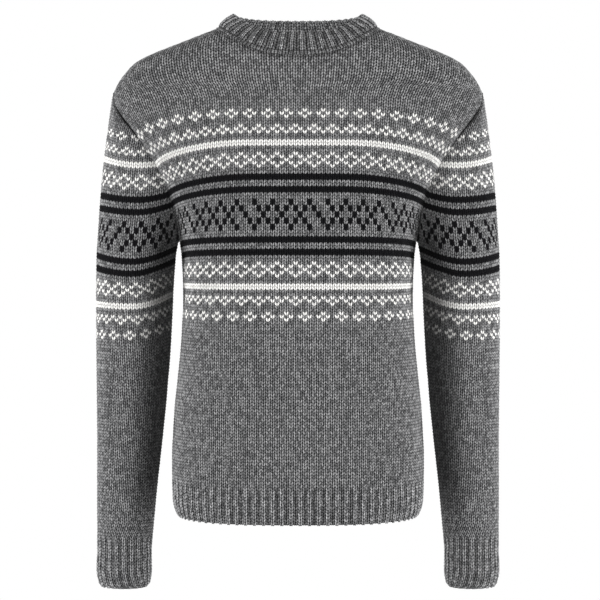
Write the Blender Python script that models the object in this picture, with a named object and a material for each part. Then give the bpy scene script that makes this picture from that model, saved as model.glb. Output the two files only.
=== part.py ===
"""A man's chunky crew-neck jumper, filled out as if worn, built from its cut.

Five pieces are knitted and linked together: front, back, two sleeves and a doubled neckband.
Each is a closed wall of knit with its own inside face, and the garment is open at the neck,
hem and cuffs. The tables are in millimetres: X across, Y back, Z up from the shoulder line.
"""

from collections import namedtuple
import math

import bmesh
import bpy
import numpy as np

MM = 0.001

# Cloth
WALL = 3.0
BAND_WALL = 5.0
SEAM_GAP = 0.3
RIB_RELIEF = 0.9
ROUNDNESS = 2.4

# Heights of the seams and edges
NECK_POINT = 3.0
NECK_HALF_WIDTH = 112.0
FRONT_NECK_DROP = 42.0
BACK_NECK_DROP = 11.0
SHOULDER_TIP = -80.0
ARMPIT = -291.0
HEM = -677.0
CUFF = -770.0

# Neckband
BAND_HALF_WIDTH = 88.0
BAND_FRONT = 72.0
BAND_BACK = 68.0
BAND_SIDE_HEIGHT = 25.0
BAND_FRONT_HEIGHT = -5.0
BAND_RISE_POWER = 3.8
BAND_BULGE = 2.0

# Wales, of which every second one stands out in a rib
PANEL_WALES = 80
CUFF_WALES = 36
BAND_WALES_A_QUARTER = 24

# Facets of the solids
NECK_COLUMNS = 7
SHOULDER_COLUMNS = 8
SLEEVE_COLUMNS = 20
ARC_STEPS = 97
NUDGE = 0.5

Section = namedtuple("Section", "height half_width front_depth back_depth")
BODY = (
    Section(10, 96, 73, 64),
    Section(3, 112, 76, 68),
    Section(-8, 141, 80, 74),
    Section(-17, 164, 82, 77),
    Section(-34, 207, 87, 83),
    Section(-42, 223, 89, 86),
    Section(-59, 241, 93, 91),
    Section(-84, 256, 98, 98),
    Section(-108, 258, 102, 103),
    Section(-130, 254, 106, 107),
    Section(-163, 236, 111, 112),
    Section(-195, 212, 115, 114),
    Section(-228, 188, 118, 115),
    Section(-259, 173, 120, 113),
    Section(-291, 165.5, 121, 110),
    Section(-330, 162, 121, 106),
    Section(-420, 162, 118, 98),
    Section(-487, 168, 116, 98),
    Section(-538, 173.5, 116, 102),
    Section(-605, 178, 118, 107),
    Section(-640, 178, 118, 108),
    Section(-677, 175, 115, 106),
)

# The armhole lies where the sleeve's oval meets the body, seam_angle round from its outer edge
Cap = namedtuple("Cap", "height depth seam_angle")
CAP = (
    Cap(-80, 0, 100),
    Cap(-83, 8, 100),
    Cap(-88, 15, 100),
    Cap(-96, 23, 100),
    Cap(-108, 33, 101),
    Cap(-130, 51, 106),
    Cap(-163, 64, 110),
    Cap(-195, 68, 118),
    Cap(-228, 68, 134),
    Cap(-259, 69, 153),
    Cap(-280, 70, 170),
    Cap(-291, 70, 180),
)

Sleeve = namedtuple("Sleeve", "height outer_x inner_x depth back_shift")
SLEEVE = (
    Sleeve(-80, 255, 0, 0, 0),
    Sleeve(-92, 259, 0, 0, 0),
    Sleeve(-108, 261.5, 0, 0, 0),
    Sleeve(-151, 267.5, 0, 0, 0),
    Sleeve(-197, 273, 0, 0, 0),
    Sleeve(-244, 277, 0, 0, 0),
    Sleeve(-291, 280, 165.5, 70, 0),
    Sleeve(-303, 281, 169.5, 70, 0.6),
    Sleeve(-328, 282, 172.5, 68.5, 3),
    Sleeve(-395, 283, 176.5, 64, 10),
    Sleeve(-454, 283, 180, 60, 14),
    Sleeve(-504, 282.5, 184, 56, 14),
    Sleeve(-571, 281.5, 190.5, 51, 9),
    Sleeve(-638, 281, 197.5, 45, 2),
    Sleeve(-698, 280, 202.5, 39, -6),
    Sleeve(-722, 281, 204.5, 38, -9),
    Sleeve(-770, 279.5, 206, 36, -15),
)

# Soft troughs: where they lie on the front or on the outside of a sleeve, and how deep they are
Fold = namedtuple("Fold", "height share slant length width depth")
BODY_FOLDS = (
    Fold(-318, 0.86, 0.5, 70, 16, 3.0),
    Fold(-372, 0.93, 0.3, 60, 18, 2.5),
    Fold(-556, 0.80, -0.2, 80, 20, 2.5),
    Fold(-590, 0.42, 0.1, 90, 22, 1.5),
)
SLEEVE_FOLDS = (
    Fold(-345, 0.72, 0.5, 60, 15, 3.0),
    Fold(-424, 0.62, -0.4, 60, 15, 3.0),
    Fold(-470, 0.70, 0.3, 70, 16, 3.5),
    Fold(-520, 0.60, -0.3, 60, 16, 2.5),
    Fold(-668, 0.45, 0.2, 70, 13, 2.0),
)

LOWER_LEVELS = (-620, -590, -555, -520, -487, -450, -410, -370, -330, -306)
ARMHOLE_LEVELS = (-291, -280, -266, -250, -230, -211, -194, -177, -160)
UPPER_LEVELS = 7
SLEEVE_LEVELS = (-690, -670, -638, -604, -571, -538, -504, -470, -437, -400, -362, -328, -303)
HEM_LEVELS = (HEM, -655.0, -632.0)
CUFF_LEVELS = (CUFF, -735.0, -702.0)

WOOL_GREY = (0.135, 0.137, 0.142, 1.0)
WOOL_ROUGHNESS = 0.92


def smooth(table, column, height):
    """One column of a table at any height, by a cubic through its rows."""
    heights = np.array([row.height for row in reversed(table)], dtype=float)
    values = np.array([getattr(row, column) for row in reversed(table)], dtype=float)
    slopes = np.gradient(values, heights)
    i = int(np.clip(np.searchsorted(heights, height) - 1, 0, len(heights) - 2))
    span = heights[i + 1] - heights[i]
    t = float(np.clip((height - heights[i]) / span, 0, 1))
    return (
        (2 * t**3 - 3 * t**2 + 1) * values[i]
        + (t**3 - 2 * t**2 + t) * span * slopes[i]
        + (3 * t**2 - 2 * t**3) * values[i + 1]
        + (t**3 - t**2) * span * slopes[i + 1]
    )


def unit(vector):
    return vector / max(np.linalg.norm(vector), 1e-9)


def bisect(test, low, high):
    """The value between low and high where test turns from false to true."""
    for _ in range(40):
        middle = (low + high) / 2
        if test(middle):
            high = middle
        else:
            low = middle
    return (low + high) / 2


def seam_depth(height):
    """How far the armhole seam lies before or behind the side of the body."""
    if height >= SHOULDER_TIP or height <= ARMPIT:
        return 0.0
    angle = math.radians(smooth(CAP, "seam_angle", height))
    return smooth(CAP, "depth", height) * math.sin(angle)


def body_arc(height, side):
    """A half section from the centre line to the seam: x, depth and length along it."""
    width = smooth(BODY, "half_width", height)
    depth = smooth(BODY, side + "_depth", height)
    end = math.acos((seam_depth(height) / depth) ** (ROUNDNESS / 2))
    angle = np.linspace(0, end, ARC_STEPS)
    x = width * np.sin(angle) ** (2 / ROUNDNESS)
    y = depth * np.clip(np.cos(angle), 0, 1) ** (2 / ROUNDNESS)
    length = np.concatenate(([0], np.cumsum(np.hypot(np.diff(x), np.diff(y)))))
    return x, y, length


def arc_length(height, side):
    return body_arc(height, side)[2][-1]


def body_point(height, share, side):
    """A point of the body, share of the way from the centre line to the side seam or armhole.

    Above the shoulder tip the wales keep their width and run out on the shoulder line."""
    x, y, length = body_arc(height, side)
    whole = arc_length(SHOULDER_TIP, side) if height > SHOULDER_TIP else length[-1]
    along = min(abs(share) * whole, length[-1])
    facing = -1 if side == "front" else 1
    return np.array([
        math.copysign(np.interp(along, length, x), share),
        facing * np.interp(along, length, y),
        height,
    ])


def fold_depth(folds, height, share):
    """How far the soft troughs pull the cloth in at a place."""
    total = 0.0
    for fold in folds:
        across = (height - fold.height) + fold.slant * (share - fold.share) * 200
        along = (share - fold.share) * 200
        reach = math.exp(-((along / (fold.length / 2)) ** 2))
        total += fold.depth * reach * math.exp(-((across / fold.width) ** 2))
    return total


def body_inward(height, share, side):
    """The unit vector into the garment at a point of the body."""
    reach = 0.004
    low = body_point(height, share - reach, side)
    high = body_point(height, share + reach, side)
    if abs(share) > 1 - 2 * reach and height <= SHOULDER_TIP:
        inner = body_point(height, share * (1 - 2 * reach), side)
        low, high = (inner, body_point(height, share, side))[:: 1 if share > 0 else -1]
    across = high - low
    up = body_point(height + NUDGE, share, side) - body_point(height - NUDGE, share, side)
    inward = unit(np.cross(across, up))
    if side == "front":
        inward = -inward
    return inward


def neck_height(x, side):
    """The neckline, lowest at the centre."""
    drop = FRONT_NECK_DROP if side == "front" else BACK_NECK_DROP
    power = 2.5 if side == "front" else 3.0
    return NECK_POINT - drop * (1 - min(abs(x) / NECK_HALF_WIDTH, 1) ** power)


def column_top(share, side):
    """The height where a wale ends, on the neckline or on the shoulder line."""
    whole = arc_length(SHOULDER_TIP, side)
    ridge = bisect(lambda z: arc_length(z, side) < abs(share) * whole, SHOULDER_TIP, NECK_POINT)
    if abs(share) * whole > arc_length(NECK_POINT, side) + 1e-6:
        return ridge
    return bisect(
        lambda z: z > neck_height(body_point(z, share, side)[0], side),
        SHOULDER_TIP, NECK_POINT,
    )


def column_shares(side):
    """Where the columns of facets lie, with one at each end of the neckline."""
    neck = arc_length(NECK_POINT, side) / arc_length(SHOULDER_TIP, side)
    half = list(np.linspace(0, neck, NECK_COLUMNS + 1))
    half += list(np.linspace(neck, 1, SHOULDER_COLUMNS + 1))[1:]
    return [-share for share in reversed(half[1:])] + half


def armhole_heights():
    """The heights of the armhole's corners, from the armpit to the shoulder tip."""
    steps = np.linspace(ARMHOLE_LEVELS[-1], SHOULDER_TIP, UPPER_LEVELS + 1)[1:]
    return list(ARMHOLE_LEVELS) + list(steps)


def armhole_loop():
    """The armhole on +X: corners up the front and down the back, with their seam directions.

    Each corner has its point, the way in and the way from the body towards the sleeve."""
    heights = armhole_heights()
    front = [body_point(z, 1, "front") for z in heights]
    back = [body_point(z, 1, "back") for z in reversed(heights[1:-1])]
    points = front + back
    centre = np.mean(points, axis=0)
    loop = []
    for i, point in enumerate(points):
        along = unit(points[(i + 1) % len(points)] - points[i - 1])
        inward = centre - point
        inward = unit(inward - along * inward.dot(along))
        loop.append((point, inward, np.cross(inward, along)))
    return loop


def valley_share(height):
    """0 where the shoulder is smooth over the seam, 1 where the seam lies in a valley."""
    return float(np.clip((-135 - height) / 60, 0, 1))


class Shell:
    """Corners and faces of one closed wall."""

    def __init__(self):
        self.corners = []
        self.faces = []

    def add(self, point):
        self.corners.append(point)
        return len(self.corners) - 1

    def chain(self, points):
        return [self.add(point) for point in points]

    def quads(self, first, second):
        for i in range(len(first) - 1):
            face = [first[i], first[i + 1], second[i + 1], second[i]]
            face = [corner for n, corner in enumerate(face) if corner != face[n - 1]]
            if len(face) > 2:
                self.faces.append(face)

    def zip_up(self, first, first_places, second, second_places):
        """Triangles between two chains with unlike numbers of corners."""
        i = 0
        j = 0
        while i < len(first) - 1 or j < len(second) - 1:
            first_next = first_places[i + 1] if i < len(first) - 1 else math.inf
            second_next = second_places[j + 1] if j < len(second) - 1 else math.inf
            if first_next <= second_next:
                self.faces.append([first[i], first[i + 1], second[j]])
                i += 1
            else:
                self.faces.append([first[i], second[j + 1], second[j]])
                j += 1


def panel_levels(share, side):
    """The heights of a column's corners above the hem rib."""
    top = column_top(share, side)
    upper = np.linspace(ARMHOLE_LEVELS[-1], top, UPPER_LEVELS + 1)[1:]
    return list(LOWER_LEVELS) + list(ARMHOLE_LEVELS) + list(upper)


def panel_corner(height, share, side, armhole):
    """The outer and inner corner of a panel, parted from its neighbour at a seam."""
    facing = -1 if side == "front" else 1
    point = body_point(height, share, side)
    inward = body_inward(height, share, side)
    fold = fold_depth(BODY_FOLDS, height, abs(share)) if side == "front" else 0
    outer = point + inward * fold
    inner = outer + inward * WALL
    at_seam = abs(share) > 1 - 1e-6
    on_armhole = at_seam and ARMPIT - 1e-6 <= height <= SHOULDER_TIP + 1e-6
    on_ridge = height > SHOULDER_TIP and point[1] * facing < 1e-3
    if on_armhole:
        mirror = np.array([math.copysign(1, share), 1, 1])
        heights = [corner[0][2] for corner in armhole]
        count = len(ARMHOLE_LEVELS) + UPPER_LEVELS
        places = range(count) if side == "front" else [0, *range(count - 1, len(armhole))]
        index = min(places, key=lambda n: abs(heights[n] - height))
        seam, way_in, to_sleeve = armhole[index]
        way = unit(way_in * mirror + valley_share(height) * inward)
        outer = (seam - to_sleeve * SEAM_GAP / 2) * mirror
        inner = outer + way * WALL
    if at_seam or on_ridge:
        for corner in (outer, inner):
            if abs(corner[1]) < 1 or on_ridge or not on_armhole:
                corner[1] = facing * SEAM_GAP / 2
    return outer, inner


def make_panel(side, armhole):
    """The front or back as a closed wall, and the corners of its neckline."""
    shell = Shell()
    shares = column_shares(side)
    columns = []
    for share in shares:
        corners = [panel_corner(z, share, side, armhole) for z in panel_levels(share, side)]
        columns.append(corners)
    rows = len(columns[0])
    outer = [shell.chain([column[k][0] for column in columns]) for k in range(rows)]
    inner = [shell.chain([column[k][1] for column in columns]) for k in range(rows)]
    for k in range(rows - 1):
        shell.quads(outer[k], outer[k + 1])
        shell.quads(inner[k], inner[k + 1])
    wales = np.linspace(-1, 1, PANEL_WALES + 1)
    ribs = []
    for height in HEM_LEVELS:
        row = []
        for n, share in enumerate(wales):
            point = panel_corner(height, share, side, armhole)[0]
            relief = -RIB_RELIEF if n % 2 else RIB_RELIEF
            if abs(share) < 1 - 1e-6:
                point = point + body_inward(height, share, side) * relief
            row.append(point)
        ribs.append(shell.chain(row))
    for low, high in zip(ribs, ribs[1:]):
        shell.quads(low, high)
    shell.zip_up(ribs[-1], wales, outer[0], shares)
    hem = shell.chain([panel_corner(HEM, share, side, armhole)[1] for share in shares])
    shell.quads(hem, inner[0])
    shell.zip_up(hem, shares, ribs[0], wales)
    levels = panel_levels(1, side)
    for end in (0, -1):
        outside = [row[end] for row in ribs] + [row[end] for row in outer]
        inside = [hem[end]] + [row[end] for row in inner]
        shell.zip_up(outside, list(HEM_LEVELS) + levels, inside, [HEM] + levels)
    shell.quads(outer[-1], inner[-1])
    first = SHOULDER_COLUMNS
    last = len(shares) - SHOULDER_COLUMNS
    neckline = [columns[n][-1] for n in range(first, last)]
    return shell, neckline


def sleeve_point(height, turn, side):
    """A point of the sleeve on +X, turn of the way from its outer edge to its seam."""
    outer_x = smooth(SLEEVE, "outer_x", height)
    if height > ARMPIT:
        end = math.radians(smooth(CAP, "seam_angle", height))
        depth = smooth(CAP, "depth", height)
        half = (outer_x - body_point(height, 1, side)[0]) / (1 - math.cos(end))
        shift = 0.0
    else:
        end = math.pi
        depth = smooth(SLEEVE, "depth", height)
        half = (outer_x - smooth(SLEEVE, "inner_x", height)) / 2
        shift = smooth(SLEEVE, "back_shift", height)
    facing = -1 if side == "front" else 1
    angle = abs(turn) * end
    return np.array([
        outer_x - half * (1 - math.cos(angle)),
        shift + facing * depth * math.sin(angle),
        height,
    ])


def sleeve_inward(height, turn, side):
    """The unit vector into the sleeve at a point of it."""
    reach = 0.01
    low = sleeve_point(height, max(turn - reach, 0), side)
    high = sleeve_point(height, min(turn + reach, 1), side)
    if turn < reach:
        low = sleeve_point(height, reach, "back" if side == "front" else "front")
    above = min(height + NUDGE, SHOULDER_TIP)
    if height < ARMPIT:
        above = min(above, ARMPIT)
    up = sleeve_point(above, turn, side) - sleeve_point(height - NUDGE, turn, side)
    inward = unit(np.cross(high - low, up))
    return inward if side == "front" else -inward


def sleeve_corner(height, share):
    """The outer and inner corner of the sleeve, share from -1, the front seam, to 1."""
    side = "front" if share <= 0 else "back"
    turn = abs(share)
    inward = sleeve_inward(height, turn, side)
    point = sleeve_point(height, turn, side)
    if abs(turn - 1) < 1e-6 and height < ARMPIT:
        inward = np.array([1.0, 0.0, 0.0])
    outer = point + inward * fold_depth(SLEEVE_FOLDS, height, turn)
    return outer, outer + inward * WALL


def make_sleeve(mirror, armhole):
    """One sleeve as a closed wall: a tube below the armpit and a cap above it."""
    shell = Shell()
    shares = list(np.linspace(-1, 1, SLEEVE_COLUMNS + 1))
    outer = []
    inner = []
    for height in SLEEVE_LEVELS:
        ring = [sleeve_corner(height, share) for share in shares[:-1]]
        outside = shell.chain([corner[0] for corner in ring])
        inside = shell.chain([corner[1] for corner in ring])
        outer.append(outside + outside[:1])
        inner.append(inside + inside[:1])
    seams = []
    for point, way_in, to_sleeve in armhole:
        side = "front" if point[1] <= 0 else "back"
        own = np.array([1.0, 0.0, 0.0])
        if point[2] < SHOULDER_TIP - 1:
            own = sleeve_inward(max(point[2], ARMPIT + NUDGE), 1, side)
        way = unit(way_in + valley_share(point[2]) * own)
        edge = point + to_sleeve * SEAM_GAP / 2
        seams.append((shell.add(edge), shell.add(edge + way * WALL)))
    heights = armhole_heights()
    for k, height in enumerate(heights[:-1]):
        ring = [sleeve_corner(height, share) for share in shares[1:-1]]
        outside = shell.chain([corner[0] for corner in ring])
        inside = shell.chain([corner[1] for corner in ring])
        front = seams[k]
        back = seams[-k % len(seams)]
        outer.append([front[0]] + outside + [back[0]])
        inner.append([front[1]] + inside + [back[1]])
    tip = seams[len(heights) - 1]
    outer.append([tip[0]] * len(shares))
    inner.append([tip[1]] * len(shares))
    for k in range(len(outer) - 1):
        shell.quads(outer[k], outer[k + 1])
        shell.quads(inner[k], inner[k + 1])
    loop = seams + seams[:1]
    shell.quads([seam[0] for seam in loop], [seam[1] for seam in loop])
    wales = np.linspace(-1, 1, CUFF_WALES + 1)
    ribs = []
    for height in CUFF_LEVELS:
        row = []
        for n, share in enumerate(wales[:-1]):
            side = "front" if share <= 0 else "back"
            relief = -RIB_RELIEF if n % 2 else RIB_RELIEF
            point = sleeve_point(height, abs(share), side)
            row.append(point + sleeve_inward(height, abs(share), side) * relief)
        ring = shell.chain(row)
        ribs.append(ring + ring[:1])
    for low, high in zip(ribs, ribs[1:]):
        shell.quads(low, high)
    shell.zip_up(ribs[-1], wales, outer[0], shares)
    rim = shell.chain([sleeve_corner(CUFF, share)[1] for share in shares[:-1]])
    rim = rim + rim[:1]
    shell.quads(rim, inner[0])
    shell.zip_up(rim, shares, ribs[0], wales)
    flip = np.array([mirror, 1, 1])
    shell.corners = [corner * flip for corner in shell.corners]
    return shell


def even_places(points, count):
    """Places at even lengths along a chain, as a corner number and the share past it."""
    points = np.array(points)
    steps = np.linalg.norm(np.diff(points, axis=0), axis=1)
    length = np.concatenate(([0], np.cumsum(steps)))
    places = []
    for wanted in np.linspace(0, length[-1], count + 1)[:-1]:
        i = min(int(np.searchsorted(length, wanted, side="right")) - 1, len(steps) - 1)
        places.append((i, (wanted - length[i]) / steps[i]))
    return places


def band_top(share):
    """The neckband's upper edge: share 0 at the front, 1 at +X, 2 behind, 3 at -X."""
    angle = share * math.pi / 2
    power = 2 / ROUNDNESS
    x = BAND_HALF_WIDTH * math.copysign(abs(math.sin(angle)) ** power, math.sin(angle))
    depth = BAND_FRONT if math.cos(angle) > 0 else BAND_BACK
    y = -depth * math.copysign(abs(math.cos(angle)) ** power, math.cos(angle))
    height = BAND_SIDE_HEIGHT
    if math.cos(angle) > 0:
        rise = (abs(x) / BAND_HALF_WIDTH) ** BAND_RISE_POWER
        height = BAND_FRONT_HEIGHT + (BAND_SIDE_HEIGHT - BAND_FRONT_HEIGHT) * rise
    return np.array([x, y, height])


def make_neckband(front_neck, back_neck):
    """The doubled band, a ring of ribs standing on the neckline."""
    shell = Shell()
    chains = (
        front_neck[len(front_neck) // 2:],
        back_neck[:len(back_neck) // 2 - 1:-1],
        back_neck[len(back_neck) // 2::-1],
        front_neck[:len(front_neck) // 2 + 1],
    )
    profiles = []
    for quarter, chain in enumerate(chains):
        edge = [corner[0] for corner in chain]
        for n, (i, past) in enumerate(even_places(edge, BAND_WALES_A_QUARTER)):
            outer = edge[i] + (edge[i + 1] - edge[i]) * past
            inner = chain[i][1] + (chain[i + 1][1] - chain[i][1]) * past
            out = unit(outer - inner)
            rise = unit(np.cross(out, unit(edge[i + 1] - edge[i])))
            rise = rise if rise[2] > 0 else -rise
            top = band_top(quarter + n / BAND_WALES_A_QUARTER)
            foot = (outer + inner) / 2 + rise * SEAM_GAP
            up = unit(top - foot)
            across = unit(out - up * out.dot(up))
            relief = -RIB_RELIEF if n % 2 else RIB_RELIEF
            half = BAND_WALL / 2
            profile = [foot + out * half]
            for share, thick in ((0.3, half), (0.7, half), (0.93, half * 0.8)):
                bulge = BAND_BULGE * math.sin(math.pi * share)
                middle = foot + (top - foot) * share
                profile.append(middle + across * (bulge + thick - relief))
            profile.append(top + across * 0.3)
            profile.append(foot + (top - foot) * 0.93 - across * half * 0.8)
            profile.append(foot + (top - foot) * 0.5 + across * (BAND_BULGE - half))
            profile.append(foot - out * half)
            profiles.append(shell.chain(profile))
    for n, profile in enumerate(profiles):
        other = profiles[(n + 1) % len(profiles)]
        shell.quads(profile + profile[:1], other + other[:1])
    return shell


def wool(name):
    """Marled grey wool, one material for each piece."""
    material = bpy.data.materials.new(name)
    material.use_nodes = True
    shader = material.node_tree.nodes["Principled BSDF"]
    shader.inputs["Base Color"].default_value = WOOL_GREY
    shader.inputs["Roughness"].default_value = WOOL_ROUGHNESS
    shader.inputs["Metallic"].default_value = 0.0
    return material


def add_piece(name, shell, collection):
    """A shell as a Blender object, with its faces turned outwards."""
    mesh = bpy.data.meshes.new(name)
    mesh.from_pydata([tuple(corner * MM) for corner in shell.corners], [], shell.faces)
    work = bmesh.new()
    work.from_mesh(mesh)
    bmesh.ops.triangulate(work, faces=work.faces[:])
    bmesh.ops.recalc_face_normals(work, faces=work.faces[:])
    work.to_mesh(mesh)
    work.free()
    mesh.shade_smooth()
    mesh.set_sharp_from_angle(angle=math.radians(50))
    piece = bpy.data.objects.new(name, mesh)
    piece.data.materials.append(wool(name + "_wool"))
    collection.objects.link(piece)
    return piece


def main():
    for old in list(bpy.data.objects):
        bpy.data.objects.remove(old, do_unlink=True)
    collection = bpy.data.collections.new("jumper")
    bpy.context.scene.collection.children.link(collection)
    armhole = armhole_loop()
    front, front_neck = make_panel("front", armhole)
    back, back_neck = make_panel("back", armhole)
    add_piece("front", front, collection)
    add_piece("back", back, collection)
    add_piece("sleeve_left", make_sleeve(1, armhole), collection)
    add_piece("sleeve_right", make_sleeve(-1, armhole), collection)
    add_piece("neckband", make_neckband(front_neck, back_neck), collection)


main()
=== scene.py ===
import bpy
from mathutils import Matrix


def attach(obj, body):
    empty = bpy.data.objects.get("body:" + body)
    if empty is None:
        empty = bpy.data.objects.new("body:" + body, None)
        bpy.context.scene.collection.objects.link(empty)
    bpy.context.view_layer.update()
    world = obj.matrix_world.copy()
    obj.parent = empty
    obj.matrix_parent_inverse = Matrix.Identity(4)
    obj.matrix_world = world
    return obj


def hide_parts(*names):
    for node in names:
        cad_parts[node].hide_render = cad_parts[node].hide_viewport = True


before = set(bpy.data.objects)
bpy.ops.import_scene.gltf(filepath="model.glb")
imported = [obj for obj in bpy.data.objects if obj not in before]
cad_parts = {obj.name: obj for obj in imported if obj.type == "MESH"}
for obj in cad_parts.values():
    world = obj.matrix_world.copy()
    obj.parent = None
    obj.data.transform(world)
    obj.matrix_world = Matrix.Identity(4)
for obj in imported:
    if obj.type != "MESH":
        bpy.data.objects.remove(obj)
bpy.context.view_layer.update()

from collections import namedtuple
import math

import bpy
import numpy as np
from mathutils import Vector

# The knit in millimetres, as the solids have it: X across, Y back, Z up from the shoulder line
MM = 0.001
WALL = 3.0
BAND_WALL = 5.0
ROUNDNESS = 2.4

NECK_POINT = 3.0
NECK_HALF_WIDTH = 112.0
NECK_DROP = {"front": 42.0, "back": 11.0}
NECK_POWER = {"front": 2.5, "back": 3.0}
SHOULDER_TIP = -80.0
TIP_LEAN = 1.0
TIP_FADE = 25.0
ARMPIT = -291.0
HEM = -681.0
CUFF = -774.0

BAND_HALF_WIDTH = 86.5
BAND_FRONT = 72.0
BAND_BACK = 68.0
BAND_SIDE_HEIGHT = 25.0
BAND_FRONT_HEIGHT = -5.0
BAND_RISE_POWER = 3.8
BAND_BACK_RISE = 2.5
BAND_BULGE = 2.0

# Gauge: rows are numbered down from the top of the pattern, wales out from the centre line
CHART_TOP = -114.4
ROW = 4.233
BODY_WALE = 6.22
SLEEVE_WALE = 6.14
HALF_WALES = 40
EVEN_RANGE = (0.9, 1.4)
CROWDING_RANGE = (2, 3.5)
HEM_RIB_ROW = 121
HEM_ROW = 133.5
CUFF_RIB_ROW = 132
CUFF_TIGHT = 0.87
CUFF_ROW = 149
SPLIT_ROW = 45
BAND_WALES = 96
BAND_ROWS = 8
BAND_TURN_ROWS = 2
BAND_KNIT_SHARE = 0.34
BAND_START = 0.2
BAND_RELIEF = 1.3
# Painted light on the neckband, and painted shade in its purl recesses
BAND_PAINTED_LIGHT = 1.6
BAND_PAINTED_SHADE = 0.95
BAND_LIP = 3.5
BAND_STEPS = 3
FOOT_STEPS = 40
# Painted shade on the strip under the neckband's lip
SOLE_PAINTED_SHADE = 0.15

# Stitches: how far a V hangs down, in rows, and how proud its legs stand
V_DROP = 0.65
STITCH_RELIEF = 1.5
MEAN_RELIEF = 0.6
STITCH_JITTER = 0.07
BAND_JITTER = 0.06
RIB_RELIEF = 1.15
# Painted light on the rib's knit wales, and painted shade in its purl recesses
RIB_PAINTED_LIGHT = 0.3
RIB_PAINTED_SHADE = 0.6
ACROSS = 4

# The sleeve's inner face, and how near the seam a row ends
CAP_RISE = 24.0
TIP_FAN = 1.5
SEAM_STOP = 0.3
INNER_CAP_ROWS = 40
INNER_ARM_ROWS = 70
INNER_COLUMNS = 17

# By height: how proud the cloth stands along a seam, and how dark the painted shade along the seam is
SEAM_REACH = 2.2
SEAM_LIFT = ((-300, -0.3), (-215, 0.35), (-165, 0.1), (-145, -0.5), (-118, -0.5), (-105, 0.7))
SEAM_PAINTED_SHADE = ((-155, 0), (-145, 0.7), (-115, 0.7), (-105, 0))

# The neckband's shadow on the cloth below it: its strength, and its middle and width in rows
NECK_SHADOW = 0.45
NECK_SHADOW_ROW = 1.2
NECK_SHADOW_ROWS = 0.7

GREY, WHITE, BLACK = 0, 1, 2

# Wool: the two shades between which its plies vary, the painted shade between strands as a share of the
# dark shade, marl and sheen
Wool = namedtuple("Wool", "name dark light gap marl sheen")
WOOLS = (
    Wool("wool_grey", (0.037, 0.038, 0.040), (0.375, 0.375, 0.38), 0.22, 0.6, 0.1),
    Wool("wool_white", (0.78, 0.77, 0.75), (0.92, 0.91, 0.89), 0.35, 0.4, 0.1),
    Wool("wool_black", (0.002, 0.002, 0.003), (0.009, 0.009, 0.010), 0.5, 0.4, 0.02),
)
SWAY = 0.3
STRAND_FLATNESS = 0.62
BUMP_HEIGHT = 0.0009

# Studio and camera in metres; a lamp's azimuth is counted from the front
FLOOR = -1.25
FLOOR_SIZE = 2.2
AMBIENT = 0.07
LAMP_DISTANCE = 3.2
LAMP_LENGTH = 2.4
LAMP_AIM = -0.38
Lamp = namedtuple("Lamp", "name azimuth height width power")
LAMPS = (
    Lamp("key_left", -68, 0.1, 1.2, 102),
    Lamp("key_right", 68, 0.1, 1.2, 102),
    Lamp("front", 0, 0.5, 1.8, 67),
    Lamp("rear_left", -125, 0.4, 1.8, 14),
    Lamp("rear_right", 125, 0.4, 1.8, 14),
    Lamp("rear", 180, 0.5, 1.8, 90),
)
CAMERA_PLACE = (0.0028, -3.0, -0.375)
VIEW_WIDTH = 0.840
SENSOR = 36.0

Section = namedtuple("Section", "height half_width front_depth back_depth")
BODY = (
    Section(10, 96, 73, 64),
    Section(3, 112, 76, 68),
    Section(-8, 141, 80, 74),
    Section(-17, 164, 82, 77),
    Section(-34, 207, 87, 83),
    Section(-42, 223, 89, 86),
    Section(-59, 241, 93, 91),
    Section(-84, 256, 98, 98),
    Section(-108, 258, 102, 103),
    Section(-130, 254, 106, 107),
    Section(-163, 236, 111, 112),
    Section(-195, 212, 115, 114),
    Section(-228, 188, 118, 115),
    Section(-259, 173, 120, 113),
    Section(-291, 165.5, 121, 110),
    Section(-330, 162, 121, 106),
    Section(-420, 162, 118, 98),
    Section(-487, 168, 116, 98),
    Section(-538, 173.5, 116, 102),
    Section(-605, 175.5, 118, 107),
    Section(-640, 174.5, 118, 108),
    Section(-657, 173.5, 117, 107.5),
    Section(-668, 170.5, 116, 106.5),
    Section(-676, 166, 114.5, 105.5),
    Section(-681, 161, 113, 104),
)

Cap = namedtuple("Cap", "height depth seam_angle")
CAP = (
    Cap(-80, 0, 100),
    Cap(-83, 8, 100),
    Cap(-88, 15, 100),
    Cap(-96, 23, 100),
    Cap(-108, 33, 101),
    Cap(-130, 51, 106),
    Cap(-163, 64, 110),
    Cap(-195, 68, 118),
    Cap(-228, 68, 134),
    Cap(-259, 69, 153),
    Cap(-280, 70, 170),
    Cap(-291, 70, 180),
)

Sleeve = namedtuple("Sleeve", "height outer_x inner_x depth back_shift")
SLEEVE = (
    Sleeve(-80, 255, 0, 0, 0),
    Sleeve(-92, 259, 0, 0, 0),
    Sleeve(-108, 261.5, 0, 0, 0),
    Sleeve(-151, 267.5, 0, 0, 0),
    Sleeve(-197, 273, 0, 0, 0),
    Sleeve(-244, 277, 0, 0, 0),
    Sleeve(-291, 280, 165.5, 70, 0),
    Sleeve(-303, 281, 169.5, 70, 0.6),
    Sleeve(-328, 282, 172.5, 68.5, 3),
    Sleeve(-395, 283, 176.5, 64, 10),
    Sleeve(-454, 283, 180, 60, 14),
    Sleeve(-504, 282.5, 184, 56, 14),
    Sleeve(-571, 281.5, 190.5, 51, 9),
    Sleeve(-638, 281, 197.5, 45, 2),
    Sleeve(-698, 280, 202.5, 39, -6),
    Sleeve(-722, 279.5, 204.5, 38, -9),
    Sleeve(-763, 278, 205.5, 36, -14),
    Sleeve(-770, 275.5, 207.5, 35, -14.5),
    Sleeve(-774, 271.5, 211.5, 33, -15),
)

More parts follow.
